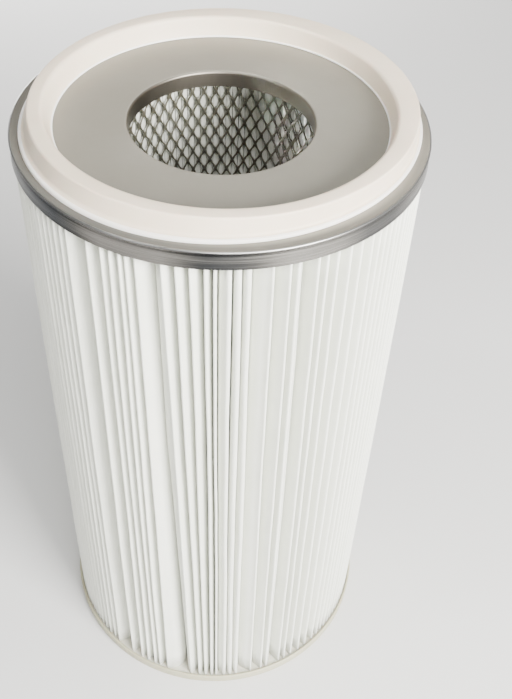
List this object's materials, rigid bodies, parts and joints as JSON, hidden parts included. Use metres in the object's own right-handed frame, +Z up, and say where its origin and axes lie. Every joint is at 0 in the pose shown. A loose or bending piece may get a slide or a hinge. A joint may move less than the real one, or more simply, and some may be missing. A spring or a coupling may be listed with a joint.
{
  "type": "dust collector filter cartridge",
  "caption": "Tall round pleated filter cartridge with an open steel cap and thick sealing gasket on top, an expanded metal core inside and a closed moulded end below.",
  "frame": {"origin": "centre of the closed end's underside", "axes": "+Z up the cartridge's axis, from the closed end towards the gasket; X and Y across it"},
  "size_m": [0.32, 0.32, 0.617],
  "materials": {
    "cap_steel": "brushed sheet steel, fine streaks round the skirt",
    "core_steel": "dull galvanised strands",
    "gasket_rubber": "matt cream moulded elastomer",
    "adhesive": "set adhesive",
    "seam_glue": "hot-melt glue",
    "potting_resin": "cast resin",
    "filter_media": "white spunbonded filter cloth",
    "pan_plastic": "matt cream moulding"
  },
  "bodies": {
    "root": {"top_cap": "cap_steel", "gasket": "gasket_rubber", "gasket_adhesive": "adhesive", "top_potting": "potting_resin", "pleat_pack": "filter_media", "pleat_seam_strip": "seam_glue", "inner_core": "core_steel", "bottom_pan": "pan_plastic", "bottom_potting": "potting_resin"}
  },
  "joints": []
}
